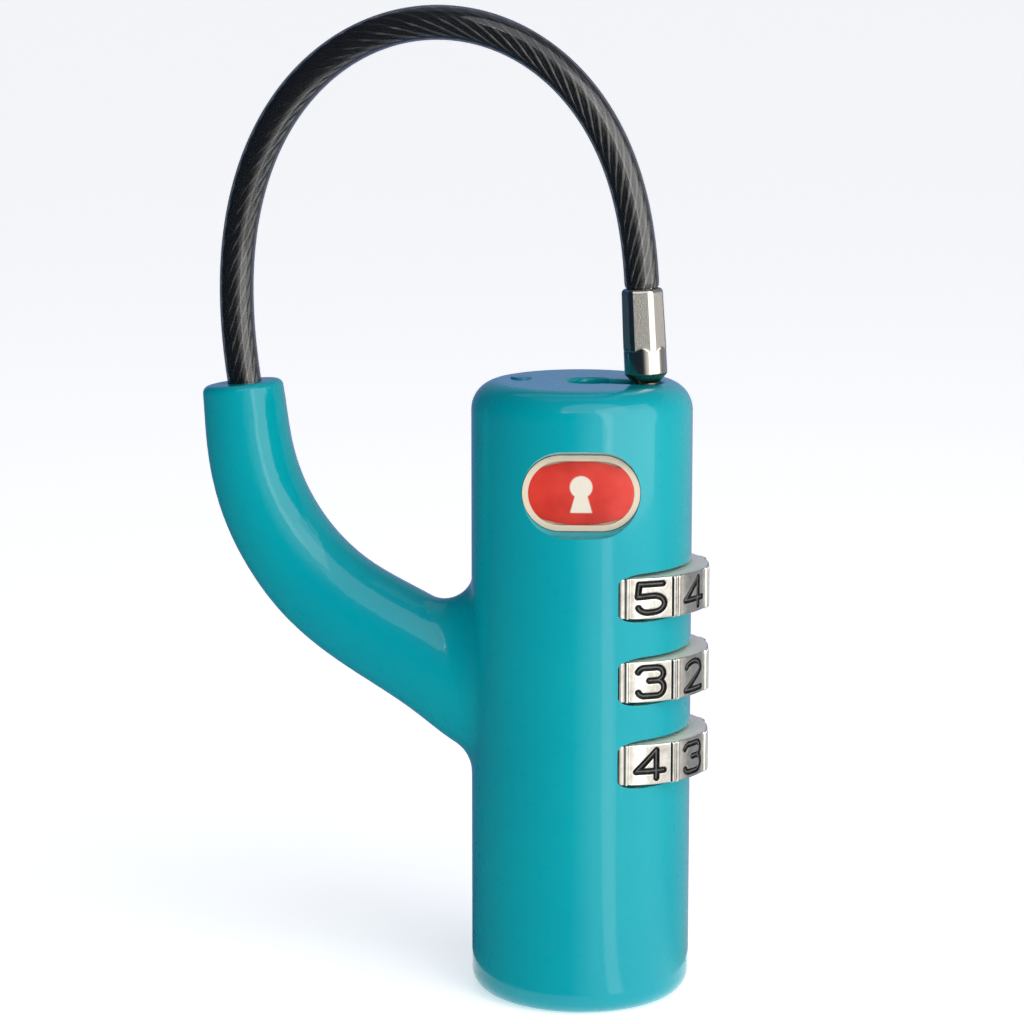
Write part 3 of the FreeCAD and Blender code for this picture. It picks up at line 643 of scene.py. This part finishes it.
def emblem_mask(u, v):
    """1 inside a keyhole shape, 0 outside."""
    head = EMBLEM_HEAD_R - math.hypot(u, v - EMBLEM_HEAD_V)
    skirt_half = SKIRT_HALF_W + SKIRT_FLARE * (EMBLEM_HEAD_V - v)
    skirt = min(skirt_half - abs(u), v + SKIRT_FOOT, SKIRT_TOP - v)
    return float(smooth(-EMBLEM_SOFT, EMBLEM_SOFT, max(head, skirt)))


# ---- studio ----------------------------------------------------------------------------

def area_light(name, place, target, width, height, power, color=(1, 1, 1)):
    """Softbox at a place in millimetres, aimed at a target."""
    data = bpy.data.lights.new(name, "AREA")
    data.shape = "RECTANGLE"
    data.size = width * MM
    data.size_y = height * MM
    data.energy = power
    data.color = color
    light = bpy.data.objects.new(name, data)
    bpy.context.scene.collection.objects.link(light)
    light.location = Vector(place) * MM
    light.visible_camera = False
    light.rotation_mode = "QUATERNION"
    light.rotation_quaternion = (Vector(target) * MM - light.location).to_track_quat("-Z", "Y")


def make_glowing_reflectors():
    """Wide bowl of glowing cards seen only in reflections, a painted reflection: bright on the right, dark
    on the left, blue behind.
    """
    # Glow colours of the painted reflection: blue and dark shade on the left and behind, bright highlight
    # strips on the right.
    sky, dusk, navy, dark = (0.22, 0.28, 0.55), (0.03, 0.08, 0.18), (0.01, 0.03, 0.06), (0.02, 0.03, 0.04)
    card, strip, shade, grey = (1.25, 1.23, 1.18), (3.0, 2.95, 2.85), (0.35, 0.36, 0.38), (0.40, 0.43, 0.50)
    stops = (BOWL_START, -215, -170, -85, -64, -57, -54, -46, -43, -5, 20, 60, 105)
    colors = (sky, dusk, navy, dark, card, card, strip, strip, card, card, shade, grey, sky)
    points, shades = [], []
    for radius, z in ((14, 0.5), (60, 0.5), (330, 0.5), (330, 300)):
        for k in range(BOWL_COLUMNS):
            turn = BOWL_START + 360 * k / BOWL_COLUMNS
            a = math.radians(turn)
            points.append((radius * math.cos(a), radius * math.sin(a), z))
            shades.append([np.interp(turn, stops, [c[i] for c in colors]) for i in range(3)] + [1.0])
    # The cards glow by emission though they are no lamp; their glow paints the highlights and the dark shade
    # in glossy surfaces.
    m = Material("glowing_reflection_card", (0, 0, 0), roughness=1.0, Specular_IOR_Level=0.0, Emission_Strength=1.0)
    m.drive("Emission Color", m.attribute("shade", "Color"))
    bowl = mesh_piece("glowing_reflection_bowl", points, ring_faces(4, BOWL_COLUMNS), m.material)
    layer = bowl.data.attributes.new("shade", "FLOAT_COLOR", "POINT")
    layer.data.foreach_set("color", np.asarray(shades, np.float32).reshape(-1))
    bowl.visible_camera = False
    bowl.visible_diffuse = False
    bowl.visible_shadow = False
    bowl.visible_transmission = False


def make_floor():
    """Pale floor with a faint glow of its own."""
    corners = [(-FLOOR_HALF, -FLOOR_HALF, 0), (FLOOR_HALF, -FLOOR_HALF, 0),
               (FLOOR_HALF, FLOOR_HALF, 0), (-FLOOR_HALF, FLOOR_HALF, 0)]
    m = Material("floor_paper", (0.92, 0.92, 0.93), roughness=0.9, Emission_Color=(1, 1, 1, 1),
                 Emission_Strength=FLOOR_GLOW)
    m.bump(m.noise(scale=0.5, detail=2), height=0.01, strength=0.2)
    floor = mesh_piece("floor", corners, [(0, 1, 2, 3)], m.material)


def make_world():
    """Surroundings graded from dark on the left to pale on the right."""
    world = bpy.data.worlds.new("studio")
    bpy.context.scene.world = world
    world.use_nodes = True
    tree = world.node_tree
    place = tree.nodes.new("ShaderNodeTexCoord")
    split = tree.nodes.new("ShaderNodeSeparateXYZ")
    tree.links.new(place.outputs["Generated"], split.inputs[0])
    spread = tree.nodes.new("ShaderNodeMapRange")
    spread.inputs["From Min"].default_value = -0.9
    spread.inputs["From Max"].default_value = 0.6
    tree.links.new(split.outputs["X"], spread.inputs["Value"])
    ramp = tree.nodes.new("ShaderNodeValToRGB")
    ramp.color_ramp.elements[0].color = (0.02, 0.05, 0.11, 1)
    ramp.color_ramp.elements[1].color = (0.50, 0.54, 0.62, 1)
    tree.links.new(spread.outputs["Result"], ramp.inputs["Fac"])
    background = tree.nodes["Background"]
    background.inputs["Strength"].default_value = WORLD_STRENGTH
    tree.links.new(ramp.outputs["Color"], background.inputs["Color"])


def make_lamps():
    """Four softboxes and a broad sun."""
    panel = Vector((math.cos(KEY_TURN), math.sin(KEY_TURN), 0)) * KEY_DISTANCE
    area_light("key", panel + Vector((0, 0, KEY_HEIGHT)), target=(0, 0, 60), width=220, height=240,
               power=0.30, color=(1.0, 0.99, 0.97))
    area_light("top", (-60, 120, 420), LAMP_AIM, width=300, height=300, power=0.12,
               color=(0.72, 0.78, 1.0))
    area_light("fill", (-300, -260, 160), LAMP_AIM, width=160, height=260, power=0.02,
               color=(0.7, 0.85, 1.0))
    area_light("front", (-40, -380, 330), LAMP_AIM, width=60, height=60, power=0.04)
    sun = bpy.data.lights.new("sun", "SUN")
    sun.energy = SUN_POWER
    sun.angle = SUN_SPREAD
    lamp = bpy.data.objects.new("sun", sun)
    bpy.context.scene.collection.objects.link(lamp)
    lamp.rotation_mode = "QUATERNION"
    lamp.rotation_quaternion = Vector(SUN_HEADING).to_track_quat("-Z", "Y")


# ---- assembly --------------------------------------------------------------------------

def make_materials():
    """Every slot's finish."""
    return {
        "teal_enamel": enamel("teal_enamel", color=(0.0, 0.33, 0.37), deep=(0.0, 0.30, 0.365)),
        "pin_enamel": enamel("pin_enamel", color=(0.02, 0.20, 0.34), deep=(0.02, 0.17, 0.30)),
        "badge_metal": enamel("badge_border", color=(0.72, 0.60, 0.46), deep=(0.66, 0.54, 0.40)),
        "badge_enamel": badge_paint(),
        "zinc_plate": metal("cast_zinc", (0.55, 0.56, 0.58), low=0.35, high=0.55, grain=2.0, height=0.01),
        "hard_steel": metal("tip_steel", (0.33, 0.29, 0.22), low=0.16, high=0.30, grain=4.0),
        "spring_steel": metal("bright_steel", (0.62, 0.62, 0.62), low=0.12, high=0.24, grain=5.0),
        "brass": metal("turned_brass", (0.75, 0.55, 0.24), low=0.25, high=0.42, grain=3.0,
                       stretch=(0.3, 0.3, 3.0)),
        "nickel": ferrule_metal(),
        "chrome": dial_metal(),
        "cable_jacket": jacket_vinyl(),
    }


def paint_cad_nodes(materials):
    """Gives every CAD node the finish of its slot."""
    slots = {part["node"]: part["material_slot"] for part in frame["record"]["subparts"]}
    for name, node in frame["nodes"].items():
        node.data.materials.clear()
        node.data.materials.append(materials[slots[name]])


def main():
    """Builds the whole scene."""
    bpy.context.scene.view_settings.view_transform = "Standard"
    make_camera()
    materials = make_materials()
    paint_cad_nodes(materials)
    for index in range(len(FRONT_DIGITS)):
        make_dial(index, materials["chrome"])
    make_cable(materials["cable_jacket"], materials["spring_steel"])
    make_ferrule(materials["nickel"])
    make_badge_enamel(materials["badge_enamel"])
    make_floor()
    make_world()
    make_lamps()
    make_glowing_reflectors()


main()
